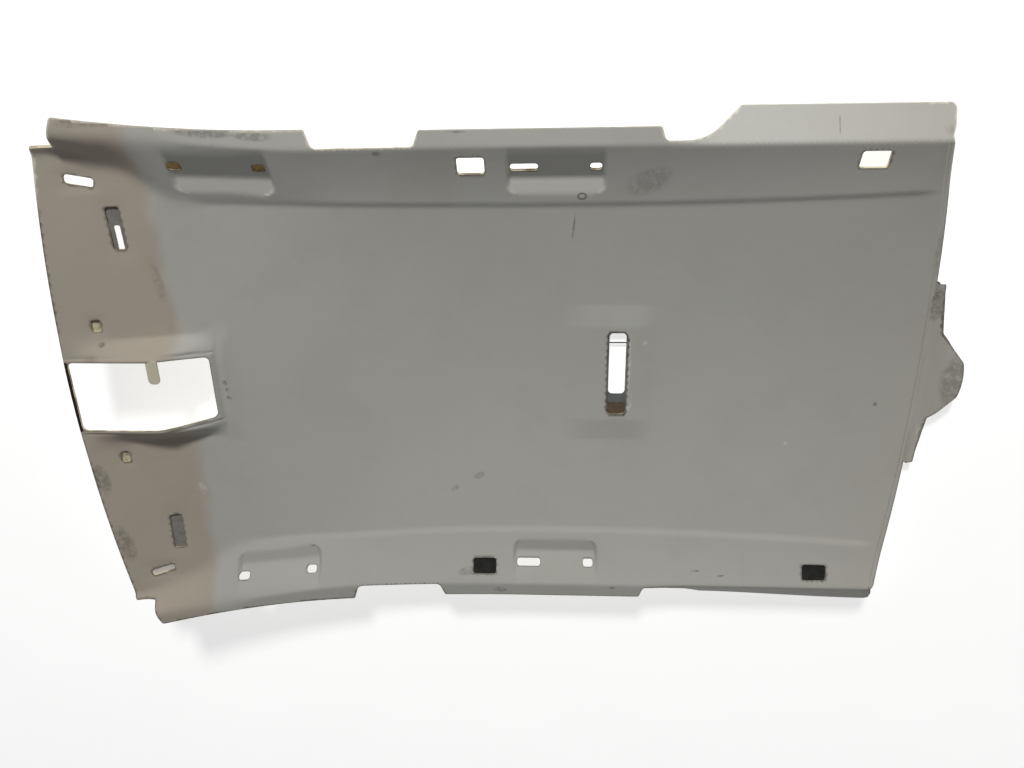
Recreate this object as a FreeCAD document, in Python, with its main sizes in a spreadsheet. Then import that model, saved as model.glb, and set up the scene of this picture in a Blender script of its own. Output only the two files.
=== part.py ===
import FreeCAD, Part
import math
import os

# Car headliner panel, lying cabin side up on its crowned back.
# X runs from the windscreen edge to the tailgate edge, Y across the car, Z up.
# The origin is under the middle of the overall length, on the ground.

SIZES = [
    # overall form of the moulded sheet
    ("front_reach", 1023.5, "windscreen edge, from the middle of the length"),
    ("tail_reach", 1026.1, "tip of the rear tongue, from the middle"),
    ("sheet_thickness", 7, "fabric, foam core and backing together"),
    ("bend_blend", 6, "half width of every moulded bend"),
    ("front_roof_radius", 3125, "lengthwise curve of the centre line, front half"),
    ("rear_roof_radius", 55000, "lengthwise curve of the centre line, rear half"),
    ("crown_depth", 46, "field centre below the side crease, middle"),
    ("crown_depth_front", 19, "the same over the sun visors"),
    ("crown_depth_gain", 12, "extra depth at the rear end"),
    ("crown_fade_start", 308, "forward of the middle, the crown starts to flatten"),
    ("crown_fade_length", 400, "length over which it flattens"),
    # side crease and side band
    ("crease_half_width", 404, "inner line of the side crease"),
    ("crease_bow_radius", 14700, "outward bow of the crease in plan"),
    ("crease_bow_centre", 91, "where the crease is closest to the centre line"),
    ("crease_rise", 5, "height of the step at the crease"),
    ("crease_run", 10, "width of the step"),
    ("crease_front_end_setback", 275.5, "forward end of the step, behind the front end"),
    ("crease_rear_end_setback", 130.1, "rearward end of the step, ahead of the tip"),
    ("visor_sweep", 70, "how far the crease line swings out over the visors"),
    ("visor_sweep_start_setback", 300.5, "start of the swing, behind the front end"),
    ("visor_sweep_length", 125, "length of the swing"),
    ("visor_sweep_draft", 0.35, "outward run of the line ahead of the swing"),
    ("ridge_half_width", 536, "top line of the side band"),
    ("ridge_front_gain", 32, "outward shift of the ridge at the front"),
    ("ridge_front_start", 408, "forward of the middle, it starts to shift"),
    ("ridge_front_length", 465, "length over which it shifts"),
    ("ridge_height", 108, "ridge above the field centre"),
    ("ridge_radius", 4350, "lengthwise curve of the ridge, front half"),
    ("band_hollow", 0.12, "slope gained by the band from crease to ridge"),
    ("flange_slope", 0.05, "slope of the flange at the doors"),
    ("flange_slope_rear", -1.15, "slope of the flange over the rear quarter"),
    ("flange_slope_tail", -0.88, "the same at the rear corner"),
    ("flange_turn_start", 292, "where the flange starts to turn down"),
    ("flange_turn_length", 140, "length of that turn"),
    # outline in plan
    ("front_bow_radius", 3320, "windscreen edge"),
    ("visor_corner_half_width", 552, "outer end of the windscreen edge"),
    ("visor_corner_setback", 46, "its setback from the front"),
    ("pillar_step_x_setback", 94.0, "step at the front pillar, behind the front end"),
    ("front_corner_x_setback", 113.5, "front corner of the flange, behind the front end"),
    ("front_corner_half_width", 612, "half width there"),
    ("door_half_width", 577, "flange edge ahead of the first notch"),
    ("middle_half_width", 572, "flange edge between the notches"),
    ("quarter_half_width", 607, "flange edge of the rear quarter"),
    ("front_notch_start_setback", 595.0, "first notch, front corner, behind the front end"),
    ("front_notch_end", 195.5, "first notch, rear corner, forward of the middle"),
    ("front_notch_side_run", 13, "lengthwise run of its sloping sides"),
    ("notch_half_width", 537.5, "bottom of the first notch"),
    ("rear_notch_start", 300.5, "second notch, front corner"),
    ("rear_notch_half_width", 544, "bottom of the second notch"),
    ("rear_notch_side_run", 9, "lengthwise run of its front side"),
    ("rear_notch_end", 391.5, "where its bottom starts to rise"),
    ("quarter_start", 469.5, "front corner of the rear quarter flange"),
    ("rear_corner_x_setback", 129.6, "rear corner of the flange, ahead of the tip"),
    ("rear_corner_half_width", 543, "outer end of the rear edge"),
    ("rear_bow_reach_setback", 75.6, "rear edge on the centre line, ahead of the tip"),
    ("rear_bow_radius", 2083, "rear edge in plan"),
    ("tongue_half_width", 224, "tongue at its root"),
    ("tongue_shoulder_length", 17, "how far its shoulders stand out"),
    ("tongue_neck_x_setback", 58.6, "neck of the tongue, ahead of the tip"),
    ("tongue_neck_half_width", 105, "half width there"),
    ("tongue_nose_x_setback", 7.6, "corner of the nose, ahead of the tip"),
    ("tongue_nose_half_width", 42, "half width of the nose"),
    ("tongue_foot_height", 14, "height where the tongue leaves the rear edge"),
    ("tongue_slope_run", 33, "length of its steep part"),
    ("tongue_slope_height", 42, "height at the end of the steep part"),
    ("tongue_tip_height", 51, "height of the tip"),
    ("tongue_length", 78, "length of the tongue behind the rear edge"),
    ("rear_lip_drop", 3.5, "step down to the lip along the rear edge"),
    ("rear_lip_width", 11, "width of that lip"),
    # overhead console opening and its raised surround
    ("console_half_width", 84.5, "half width of the opening at the front"),
    ("console_half_width_rear", 76, "half width of the opening at the rear"),
    ("console_front_x_setback", 7.0, "strip left ahead of the console opening"),
    ("console_taper_x_setback", 197.5, "where its sides start to draw in, behind the front end"),
    ("console_rear_x_setback", 305.0, "rear end of the opening, behind the front end"),
    ("console_corner_radius", 12, "corners of the opening"),
    ("surround_height", 174, "level top of the surround above the ground"),
    ("surround_rim", 7, "flat rim around the opening"),
    ("surround_foot", 126, "half width of the surround at its foot"),
    ("surround_level_x_setback", 155.5, "where its top starts to fall, behind the front end"),
    ("surround_fall", 64, "fall of the top to the rear end of the opening"),
    ("surround_fall_power", 2.4, "how late the fall comes"),
    ("surround_end_run", 24, "length of its rear slope"),
    # dome lamp opening and its raised pad
    ("lamp_x", 234.5, "centre of the lamp opening"),
    ("lamp_length", 44, "size of the opening along the car"),
    ("lamp_width", 208, "size of the opening across the car"),
    ("lamp_corner_radius", 9, "corners of the opening"),
    ("lamp_pad_height", 7.5, "raised pad around the opening"),
    ("lamp_pad_foot", 172, "half width of the pad at its foot"),
    ("lamp_pad_top", 122, "half width of its level top"),
    ("lamp_pad_front_foot", 92, "front end of the pad"),
    ("lamp_pad_front_top", 192, "front end of its level top"),
    ("lamp_pad_rear_top", 272, "rear end of its level top"),
    ("lamp_pad_rear_foot", 327, "rear end of the pad"),
    # recesses of the grab handles, the front pair
    ("front_handle_x_setback", 400.0, "middle of the front handle recess, behind the front end"),
    ("front_handle_lip", 439, "inner edge of the shelf"),
    ("front_handle_valley", 481.6, "outer edge of the shelf"),
    ("front_handle_lip_drop", 57, "inner edge of the shelf, below the ridge"),
    ("front_handle_valley_drop", 51, "outer edge of the shelf, below the ridge"),
    ("front_handle_floor_slope", 0.81, "rise of the sloping floor"),
    ("front_handle_shift", -0.0527, "sideways shift per length, towards the rear"),
    ("front_handle_fall", -0.13, "fall per length, towards the rear"),
    ("front_handle_lip_front_setback", 319.0, "its front end at the inner edge"),
    ("front_handle_lip_rear_setback", 487.5, "its rear end at the inner edge"),
    ("front_handle_wide_front_setback", 301.5, "its front end at full width"),
    ("front_handle_wide_rear_setback", 511.5, "its rear end at full width"),
    # recesses of the grab handles, the rear pair
    ("rear_handle_lip", 428, "inner edge of the shelf"),
    ("rear_handle_valley", 470, "outer edge of the shelf"),
    ("rear_handle_drop", 51.5, "shelf, below the ridge"),
    ("rear_handle_floor_slope", 0.78, "rise of the sloping floor"),
    ("rear_handle_lip_front", -3.5, "front end at the inner edge"),
    ("rear_handle_lip_rear", 177.5, "rear end at the inner edge"),
    ("rear_handle_wide_front", -18, "front end at full width"),
    ("rear_handle_wide_rear", 193, "rear end at full width"),
    ("handle_corner", 17, "from the inner edge to where the recess is at full width"),
    ("handle_draft", 0.2, "lean of the end walls, run per height"),
    # small openings, each mirrored to the other side
    ("side_hole_length", 58, "oblong hole in the side band, along the car"),
    ("side_hole_width", 35.5, "the same across the car"),
    ("side_hole_front_x", -92.5, "front pair of these holes"),
    ("side_hole_front_y", 496.5, "their distance from the centre line"),
    ("side_hole_rear_x_setback", 292.1, "rear pair, ahead of the tip"),
    ("side_hole_rear_y", 500, "their distance from the centre line"),
    ("visor_slot_x_setback", 114.5, "slot of the visor pivot, behind the front end"),
    ("visor_slot_y", 483, "its distance from the centre line"),
    ("visor_slot_length", 54, "its length"),
    ("visor_slot_width", 19, "its width"),
    ("visor_slot_turn", 13, "its angle to the centre line, degrees"),
    ("visor_hole_x_setback", 163.0, "opening of the visor plate, behind the front end"),
    ("visor_hole_y", 380, "its distance from the centre line"),
    ("visor_hole_length", 27, "its size along the car"),
    ("visor_hole_width", 93, "its size across the car"),
    ("clip_x_setback", 80.0, "blind pocket of the visor clip, behind the front end"),
    ("clip_y", 164, "its distance from the centre line"),
    ("clip_length", 18, "its size along the car"),
    ("clip_width", 28, "its size across the car"),
    ("clip_depth", 5, "its depth, down into the foam"),
    ("grip_hole_length", 25, "screw holes of the front handles, along the car"),
    ("grip_hole_width", 16, "the same across the car"),
    ("front_grip_front_x_setback", 317.0, "front hole of the front handle, behind the front end"),
    ("front_grip_front_y", 508.5, "its distance from the centre line"),
    ("front_grip_rear_x_setback", 486.0, "rear hole of the front handle, behind the front end"),
    ("front_grip_rear_y", 499.6, "its distance from the centre line"),
    ("rear_grip_slot_x", 19.5, "slot of the rear handle, with the coat hook"),
    ("rear_grip_slot_length", 59, "its length"),
    ("rear_grip_hole_x", 170.5, "rear hole of the rear handle"),
    ("rear_grip_y", 491.5, "distance of both from the centre line"),
    ("hole_corner_radius", 6, "corners of the small openings"),
    # pieces fixed to the back of the sheet
    ("bracket_thickness", 2.5, "grey plate behind the lamp opening"),
    ("bracket_length", 78, "its size along the car"),
    ("bracket_left_y", 112, "its end on the left-hand side"),
    ("bracket_right_y", 75, "its end on the right-hand side"),
    ("bracket_window_length", 40, "its window, along the car"),
    ("bracket_window_left_y", 102, "end of the window on the left-hand side"),
    ("bracket_window_right_y", 53, "end of the window on the right-hand side"),
    ("bracket_bar_y", 78, "thin bar across the window"),
    ("bracket_bar_width", 3, "width of the bar"),
    ("foam_pad_width", 39, "foam block beside the bracket, across the car"),
    ("foam_pad_length", 70, "the same along the car"),
    ("foam_pad_thickness", 6, "its thickness"),
    ("visor_plate_length", 60, "plate behind the visor opening, along the car"),
    ("visor_plate_width", 130, "the same across the car"),
    ("visor_plate_thickness", 2, "its thickness"),
    ("plate_window_length", 12, "window in the left-hand plate, along the car"),
    ("plate_window_width", 55, "the same across the car"),
    ("insert_length", 70, "insert behind the right-hand visor slot"),
    ("insert_width", 34, "its width"),
    ("insert_thickness", 2, "its thickness"),
    ("tab_x_setback", 200.5, "tab at the console opening, behind the front end"),
    ("tab_width", 26, "its width, along the car"),
    ("tab_reach", 52, "how far it stands into the opening"),
    ("tab_thickness", 4.5, "its thickness"),
    ("tab_below_rim", 1.5, "its top below the top of the rim"),
]


def make_sheet(doc):
    """The driving dimensions, one named cell each."""
    sheet = doc.addObject("Spreadsheet::Sheet", "Sizes")
    for row, (alias, value, note) in enumerate(SIZES, start=1):
        sheet.set("A%d" % row, alias)
        sheet.set("B%d" % row, str(value))
        sheet.set("C%d" % row, note)
        sheet.setAlias("B%d" % row, alias)
    doc.recompute()
    return sheet


# Places that keep their distance from the front end, counted forward of the middle.
FORWARD_PLACES = [
    "visor_sweep_start",
    "crease_front_end",
    "pillar_step_x",
    "front_corner_x",
    "front_notch_start",
    "console_front_x",
    "console_taper_x",
    "console_rear_x",
    "surround_level_x",
]

# Places that keep their distance from the front end, as values of X.
FRONT_POINTS = [
    "front_handle_x",
    "front_handle_lip_front",
    "front_handle_lip_rear",
    "front_handle_wide_front",
    "front_handle_wide_rear",
    "visor_slot_x",
    "visor_hole_x",
    "clip_x",
    "front_grip_front_x",
    "front_grip_rear_x",
    "tab_x",
]

# Places that keep their distance from the tip of the tongue, as values of X.
REAR_POINTS = [
    "rear_bow_reach",
    "rear_corner_x",
    "crease_rear_end",
    "tongue_neck_x",
    "tongue_nose_x",
    "side_hole_rear_x",
]


class Sizes:
    """Every driving dimension of the sheet, read once by its name."""

    def __init__(self, sheet):
        for alias, _value, _note in SIZES:
            setattr(self, alias, float(sheet.get(alias)))
        for name in FORWARD_PLACES:
            setattr(self, name, self.front_reach - getattr(self, name + "_setback"))
        for name in FRONT_POINTS:
            setattr(self, name, getattr(self, name + "_setback") - self.front_reach)
        for name in REAR_POINTS:
            setattr(self, name, self.tail_reach - getattr(self, name + "_setback"))


def ease(ratio):
    """Smooth step from 0 to 1."""
    ratio = min(max(ratio, 0.0), 1.0)
    return ratio * ratio * (3 - 2 * ratio)


def centre_height(v, x):
    """Cabin surface on the centre line."""
    radius = v.front_roof_radius if x < 0 else v.rear_roof_radius
    return v.sheet_thickness + x * x / (2 * radius)


def crown(v, x):
    """Height of the crease line above the centre line."""
    if x >= 0:
        return v.crown_depth + v.crown_depth_gain * (x / v.rear_bow_reach) ** 2
    fade = ease((-v.crown_fade_start - x) / v.crown_fade_length)
    return v.crown_depth + (v.crown_depth_front - v.crown_depth) * fade


def crease_line(v, x):
    """Half width of the crease, which swings out over the sun visors."""
    bow = (x - v.crease_bow_centre) ** 2 / (2 * v.crease_bow_radius)
    swing = v.visor_sweep * ease((-v.visor_sweep_start - x) / v.visor_sweep_length)
    ahead = max(-v.visor_sweep_start - v.visor_sweep_length - x, 0)
    line = v.crease_half_width + bow + swing + v.visor_sweep_draft * ahead
    return min(line, ridge_line(v, x) - 2 * v.crease_run)


def ridge_line(v, x):
    """Half width of the ridge, where the side band turns over into the flange."""
    shift = ease((-v.ridge_front_start - x) / v.ridge_front_length)
    return v.ridge_half_width + v.ridge_front_gain * shift


def ridge_top(v, x):
    rise = x * x / (2 * v.ridge_radius) if x < 0 else 0
    return v.sheet_thickness + v.ridge_height + rise


def flange_fall(v, x):
    """Slope of the flange outside the ridge."""
    turn = ease((x - v.flange_turn_start) / v.flange_turn_length)
    past = x - v.flange_turn_start - v.flange_turn_length
    tail = ease(past / (v.rear_corner_x - v.flange_turn_start - v.flange_turn_length))
    rear = v.flange_slope_rear + (v.flange_slope_tail - v.flange_slope_rear) * tail
    return v.flange_slope + (rear - v.flange_slope) * turn


def crease_step(v, x):
    """Rise of the crease step, which fades out at both ends."""
    front = ease((x + v.crease_front_end) / 100)
    rear = ease((v.crease_rear_end - x) / 60)
    return v.crease_rise * front * rear


def section_poles(v, x):
    """Control points of half a cross section: field, crease, band, ridge, flange."""
    low = centre_height(v, x)
    depth = crown(v, x)
    foot = crease_line(v, x)
    top = foot + v.crease_run
    ridge = ridge_line(v, x)
    reach = ridge - top
    start = foot - v.bend_blend
    start_height = low + depth * (start / foot) ** 2
    start_slope = 2 * depth * start / foot ** 2
    top_height = low + depth + 2 * depth * v.crease_run / foot + crease_step(v, x)
    chord = (ridge_top(v, x) - top_height) / reach
    hollow = v.band_hollow * ease((x + v.front_notch_start + 150) / 250)
    inner = min(v.bend_blend, 0.25 * reach)
    inner_slope = chord + hollow * (2 * inner / reach - 1)
    inner_height = top_height + chord * inner + hollow * inner * (inner / reach - 1)
    outer_slope = chord + hollow * (1 - 2 * inner / reach)
    outer_height = inner_height + (inner_slope + outer_slope) / 2 * (reach - 2 * inner)
    corner_height = outer_height + outer_slope * inner
    fall = flange_fall(v, x)
    rise = 0.4 * v.crease_run
    return [
        (0, 2 * low - start_height),
        (start, start_height),
        (foot + rise, start_height + start_slope * (v.bend_blend + rise)),
        (top - rise, inner_height - inner_slope * (inner + rise)),
        (top + inner, inner_height),
        (top + reach / 2, inner_height + inner_slope * (reach / 2 - inner)),
        (ridge - inner, outer_height),
        (ridge + v.bend_blend, corner_height + fall * v.bend_blend),
        (ridge + 100, corner_height + fall * 100),
    ]


def parallel(points, distance):
    """The same run of points, moved square to itself to the lower side."""
    moved = []
    for index, (y, z) in enumerate(points):
        legs = []
        if index > 0:
            legs.append((y - points[index - 1][0], z - points[index - 1][1]))
        if index < len(points) - 1:
            legs.append((points[index + 1][0] - y, points[index + 1][1] - z))
        normals = [(b / math.hypot(a, b), -a / math.hypot(a, b)) for a, b in legs]
        across = sum(n[0] for n in normals) / len(normals)
        down = sum(n[1] for n in normals) / len(normals)
        scale = distance / (across * across + down * down)
        moved.append((y + across * scale, z + down * scale))
    return moved


STRIP_DEGREES = (1, 1, 2, 1, 1, 1, 2, 1, 1, 1, 2, 1, 1)


def station_places(v):
    """Lengthwise places of the cross sections, closer where the form changes."""
    stops = [
        (-v.front_reach - 25, 2),
        (-v.visor_sweep_start - v.visor_sweep_length - 30, 3),
        (-v.visor_sweep_start + 10, 4),
        (-v.crown_fade_start, 2),
        (0, 2),
        (v.flange_turn_start - 30, 3),
        (v.flange_turn_start + v.flange_turn_length + 30, 3),
        (v.rear_corner_x, 1),
        (v.tail_reach + 25, 0),
    ]
    places = []
    for (start, count), (end, _) in zip(stops, stops[1:]):
        places += [start + (end - start) * i / count for i in range(count)]
    return places + [stops[-1][0]]


def section_run(v, x, offset):
    """Control points of the whole cross section, or of its parallel below."""
    half = section_poles(v, x)
    full = [(-y, z) for y, z in reversed(half[1:])] + half
    if offset:
        lean = math.hypot(1, x / v.front_roof_radius) if x < 0 else 1
        full = parallel(full, offset * lean)
    return [FreeCAD.Vector(x, y, z) for y, z in full]


def ruled_block(v, offset):
    """Solid below the back of the sheet, straight between its cross sections."""
    wires = []
    for x in station_places(v):
        points = section_run(v, x, offset)
        edges = []
        first = 0
        for degree in STRIP_DEGREES:
            curve = Part.BezierCurve()
            curve.setPoles(points[first:first + degree + 1])
            edges.append(curve.toShape())
            first += degree
        low = [FreeCAD.Vector(x, points[-1].y, -400), FreeCAD.Vector(x, points[0].y, -400)]
        edges += Part.makePolygon([points[-1]] + low + [points[0]]).Edges
        wires.append(Part.Wire(edges))
    return Part.makeLoft(wires, True, True)


def rounded_face(corners, height):
    """Flat face at one height, over a closed run of corners (x, y, radius)."""
    edges = []
    points = [FreeCAD.Vector(x, y, height) for x, y, _ in corners]
    last = None
    first = None
    for index, (_x, _y, radius) in enumerate(corners):
        corner = points[index]
        back = (points[index - 1] - corner).normalize()
        ahead = (points[(index + 1) % len(points)] - corner).normalize()
        half = back.getAngle(ahead) / 2
        run = radius / math.tan(half)
        start = corner + back * run
        end = corner + ahead * run
        inward = (back + ahead).normalize()
        middle = corner + inward * (radius / math.sin(half) - radius)
        if last is None:
            first = start
        elif last.distanceToPoint(start) > 0.01:
            edges.append(Part.LineSegment(last, start).toShape())
        edges.append(Part.Arc(start, middle, end).toShape())
        last = end
    if last.distanceToPoint(first) > 0.01:
        edges.append(Part.LineSegment(last, first).toShape())
    return Part.Face(Part.Wire(edges))


def mirrored(half):
    """Closed run of corners from its half on the positive side of Y."""
    other = [(x, -y, radius) for x, y, radius in reversed(half) if y > 0]
    return half + other


def rear_setback(v, y):
    return y * y / (2 * v.rear_bow_radius)


def outline_corners(v):
    """Half of the trimmed outline, from the windscreen edge to the tongue."""
    front_half = v.visor_corner_half_width / 2
    front_side = v.front_notch_side_run
    shoulder = v.rear_bow_reach - rear_setback(v, v.tongue_half_width)
    rear_tangent = (v.tongue_half_width + v.rear_corner_half_width) / 2
    tangent_x = (
        shoulder
        - (rear_tangent - v.tongue_half_width) * v.tongue_half_width / v.rear_bow_radius)
    corner_x = v.rear_bow_reach - rear_setback(v, v.rear_corner_half_width)
    return [
        (-v.front_reach, front_half, v.front_bow_radius),
        (-v.front_reach + v.visor_corner_setback, v.visor_corner_half_width, 5),
        (-v.pillar_step_x, v.visor_corner_half_width + 1, 5),
        (-v.front_corner_x, v.front_corner_half_width, 7),
        (-v.front_corner_x + 242, v.door_half_width + 0.5, 3000),
        (-v.front_notch_start, v.door_half_width, 5),
        (-v.front_notch_start + front_side, v.notch_half_width, 14),
        (-v.front_notch_end - front_side, v.notch_half_width, 14),
        (-v.front_notch_end, v.middle_half_width, 6),
        (v.rear_notch_start, v.middle_half_width, 6),
        (v.rear_notch_start + v.rear_notch_side_run, v.rear_notch_half_width, 10),
        (v.rear_notch_end, v.rear_notch_half_width, 120),
        (v.quarter_start, v.quarter_half_width, 8),
        (v.rear_corner_x, v.quarter_half_width, 10),
        (corner_x, v.rear_corner_half_width, 15),
        (tangent_x, rear_tangent, 1800),
        (shoulder, v.tongue_half_width, 3),
        (shoulder + v.tongue_shoulder_length, v.tongue_half_width - 3, 4),
        (v.tongue_neck_x - 5, v.tongue_neck_half_width + 42, 60),
        (v.tongue_neck_x, v.tongue_neck_half_width, 15),
        (v.tongue_nose_x, v.tongue_nose_half_width, 22),
        (v.tail_reach, 0, 175),
    ]


def console_corners(v):
    """Half of the console opening."""
    return [
        (-v.console_front_x, v.console_half_width, v.console_corner_radius),
        (-v.console_taper_x, v.console_half_width, 120),
        (-v.console_rear_x, v.console_half_width_rear, v.console_corner_radius),
    ]


def feature(doc, name, shape):
    """Document object for a form that no primitive or sketch gives."""
    item = doc.addObject("Part::Feature", name)
    item.Shape = shape
    return item


def surround_top(v, x):
    past = max(x + v.surround_level_x, 0) / (v.surround_level_x - v.console_rear_x)
    return v.surround_height - v.surround_fall * past ** v.surround_fall_power


def surround_section(v, x, offset, sink):
    """Section across the surround, or across its inside at the given offset."""
    past = max(x + v.console_taper_x, 0) / (v.console_taper_x - v.console_rear_x)
    opening = v.console_half_width
    opening += (v.console_half_width_rear - v.console_half_width) * min(past, 1)
    height = surround_top(v, x) - sink
    foot_height = centre_height(v, x) + crown(v, x) * (v.surround_foot / v.crease_half_width) ** 2
    run = v.surround_foot - opening - v.surround_rim
    rise = max(surround_top(v, x) - foot_height, 4)
    lean = run / rise
    side = offset * math.hypot(1, lean) - offset * lean
    half = opening + v.surround_rim - side
    low = foot_height - 40
    wide = half + (height - offset - low) * lean
    section = [(-wide, low), (-half, height - offset), (half, height - offset), (wide, low)]
    points = [FreeCAD.Vector(x, y, z) for y, z in section]
    return Part.makePolygon(points + points[:1])


def surround_solid(v, offset):
    """Raised surround of the console opening, or its inside."""
    rim_end = -v.console_rear_x + v.surround_rim
    if offset:
        rim_end -= offset * 0.5
    start = -v.front_reach - 20
    steps = [start, -v.surround_level_x]
    fall = rim_end + v.surround_level_x
    steps += [-v.surround_level_x + fall * k for k in (0.35, 0.55, 0.75, 1)]
    main = Part.makeLoft([surround_section(v, x, offset, 0) for x in steps], True, True)
    end = rim_end + v.surround_end_run
    height = surround_top(v, rim_end)
    sink = height - centre_height(v, end) - offset * 0
    last = surround_section(v, rim_end, offset, 0)
    low = surround_section(v, rim_end, offset, sink + 6)
    run = v.surround_end_run * (sink + 6) / sink
    low.translate(FreeCAD.Vector(run, 0, 0))
    return main.fuse(Part.makeLoft([last, low], True, True))


def lamp_pad_section(v, x, lift):
    """Section across the lamp pad, its top parallel to the crowned field."""
    low = centre_height(v, x)
    rise = crown(v, x) / v.crease_half_width ** 2
    foot = v.lamp_pad_foot
    top = v.lamp_pad_top
    foot_height = low + rise * foot ** 2 - 0.5
    top_height = low + rise * top ** 2 + lift
    crest = low - rise * top ** 2 + lift
    curve = Part.BezierCurve()
    curve.setPoles([
        FreeCAD.Vector(x, -top, top_height), FreeCAD.Vector(x, 0, crest),
        FreeCAD.Vector(x, top, top_height)])
    outer = [(top, top_height), (foot, foot_height), (foot, low - 60)]
    right = [FreeCAD.Vector(x, y, z) for y, z in outer]
    left = [FreeCAD.Vector(x, -y, z) for y, z in outer]
    sides = [Part.makePolygon(right + left[::-1])]
    return Part.Wire([curve.toShape()] + sides[0].Edges)


def lamp_pad_solid(v, offset):
    """Raised pad around the dome lamp opening."""
    places = [
        (v.lamp_pad_front_foot, -0.5), (v.lamp_pad_front_top, v.lamp_pad_height),
        (v.lamp_pad_rear_top, v.lamp_pad_height), (v.lamp_pad_rear_foot, -0.5)]
    solid = Part.makeLoft([lamp_pad_section(v, x, lift) for x, lift in places], True, True)
    return solid.translated(FreeCAD.Vector(0, 0, -offset))


def tongue_solid(v, offset):
    """Rising tongue behind the rear edge, following the bow of that edge."""
    profile = [
        (-6, v.tongue_foot_height - 60), (-6, v.tongue_foot_height - 3),
        (0, v.tongue_foot_height), (v.tongue_slope_run, v.tongue_slope_height),
        (v.tongue_length, v.tongue_tip_height),
        (v.tongue_length + 30, v.tongue_tip_height + 2),
        (v.tongue_length + 30, v.tongue_foot_height - 60)]
    if offset:
        profile = profile[:1] + parallel(profile[1:6], offset) + profile[6:]
    wires = []
    for y in (-v.tongue_half_width - 20, 0, v.tongue_half_width + 20):
        edge = v.rear_bow_reach - rear_setback(v, y)
        points = [FreeCAD.Vector(edge + x, y, z) for x, z in profile]
        wires.append(Part.makePolygon(points + points[:1]))
    return Part.makeLoft(wires, True, False)


def handle_solid(v, plan, profile, shear, x_range, offset):
    """Space cut for a grab handle: a sheared profile between leaning end walls."""
    lip, lip_front, lip_rear, wide_front, wide_rear = plan
    wide_y = lip + v.handle_corner
    start, end = x_range
    run = parallel(profile, offset) if offset else profile
    top = [(profile[-1][0] + 40, 300), (profile[0][0] - 25, 300)]
    origin, shift, fall = shear
    shape = []
    for y, z in run + top:
        shape.append(FreeCAD.Vector(
            start, y + shift * (start - origin), z + fall * (start - origin)))
    wire = Part.makePolygon(shape + shape[:1])
    length = end - start
    sweep = Part.Face(wire).extrude(FreeCAD.Vector(length, shift * length, fall * length))
    grow = offset * math.hypot(1, v.handle_draft)
    level = profile[1][1]
    wires = []
    for height in (level - 60, level + 120):
        wider = (height - level - 12) * v.handle_draft + grow
        points = [
            (lip - 60, lip_front), (lip, lip_front), (wide_y, wide_front),
            (wide_y + 120, wide_front), (wide_y + 120, wide_rear), (wide_y, wide_rear),
            (lip, lip_rear), (lip - 60, lip_rear)]
        corners = []
        for index, (y, x) in enumerate(points):
            x += -wider if index < 4 else wider
            corners.append(FreeCAD.Vector(x, y, height))
        wires.append(Part.makePolygon(corners + corners[:1]))
    return sweep.common(Part.makeLoft(wires, True, True))


def lip_region(v):
    """Plan of the thin lip along the rear edge, as a tall prism."""
    half = v.rear_corner_half_width + 30
    pieces = []
    for inner, outer in ((-v.rear_lip_width, 0), (-1, 15)):
        arcs = []
        for shift in (inner, outer):
            edge = v.rear_bow_reach + shift
            ends = [FreeCAD.Vector(edge - rear_setback(v, y), y, -100) for y in (-half, 0, half)]
            arcs.append(Part.Arc(*ends).toShape())
        band = Part.makeRuledSurface(arcs[0], arcs[1]).extrude(FreeCAD.Vector(0, 0, 600))
        pieces.append(band)
    width = v.tongue_half_width + 2
    inside = Part.makeBox(400, 2 * width, 800, FreeCAD.Vector(v.rear_bow_reach - 200, -width, -200))
    return pieces[0].fuse(pieces[1].cut(inside))


def handle_plans(v):
    """Plan, profile, shear and length range of the front and the rear recess."""
    ridge = ridge_top(v, v.front_handle_x)
    front_low = ridge - v.front_handle_valley_drop
    front_end = front_low + v.front_handle_floor_slope * 90
    front = (
        (v.front_handle_lip, v.front_handle_lip_front, v.front_handle_lip_rear,
         v.front_handle_wide_front, v.front_handle_wide_rear),
        [(v.front_handle_lip, ridge - v.front_handle_lip_drop),
         (v.front_handle_valley, front_low),
         (v.front_handle_valley + 90, front_end)],
        (v.front_handle_x, v.front_handle_shift, v.front_handle_fall),
        (v.front_handle_wide_front - 70, v.front_handle_wide_rear + 70))
    rear_low = ridge_top(v, 0) - v.rear_handle_drop
    rear_end = rear_low + v.rear_handle_floor_slope * 90
    rear = (
        (v.rear_handle_lip, v.rear_handle_lip_front, v.rear_handle_lip_rear,
         v.rear_handle_wide_front, v.rear_handle_wide_rear),
        [(v.rear_handle_lip, rear_low),
         (v.rear_handle_valley, rear_low),
         (v.rear_handle_valley + 90, rear_end)],
        (0, 0, 0),
        (v.rear_handle_wide_front - 70, v.rear_handle_wide_rear + 70))
    return front, rear


def both_sides(shape):
    """A shape and its mirror image on the other side of the car."""
    flip = FreeCAD.Vector(0, 1, 0)
    return [shape, shape.mirror(FreeCAD.Vector(0, 0, 0), flip)]


def formed_block(v, offset):
    """Everything below the cabin surface, or below the back, as one solid."""
    raised = [surround_solid(v, offset), lamp_pad_solid(v, offset), tongue_solid(v, offset)]
    plain = ruled_block(v, offset)
    block = plain.fuse(raised)
    recesses = []
    for plan, profile, shear, x_range in handle_plans(v):
        recesses += both_sides(handle_solid(v, plan, profile, shear, x_range, offset))
    return block.cut(recesses)


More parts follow.
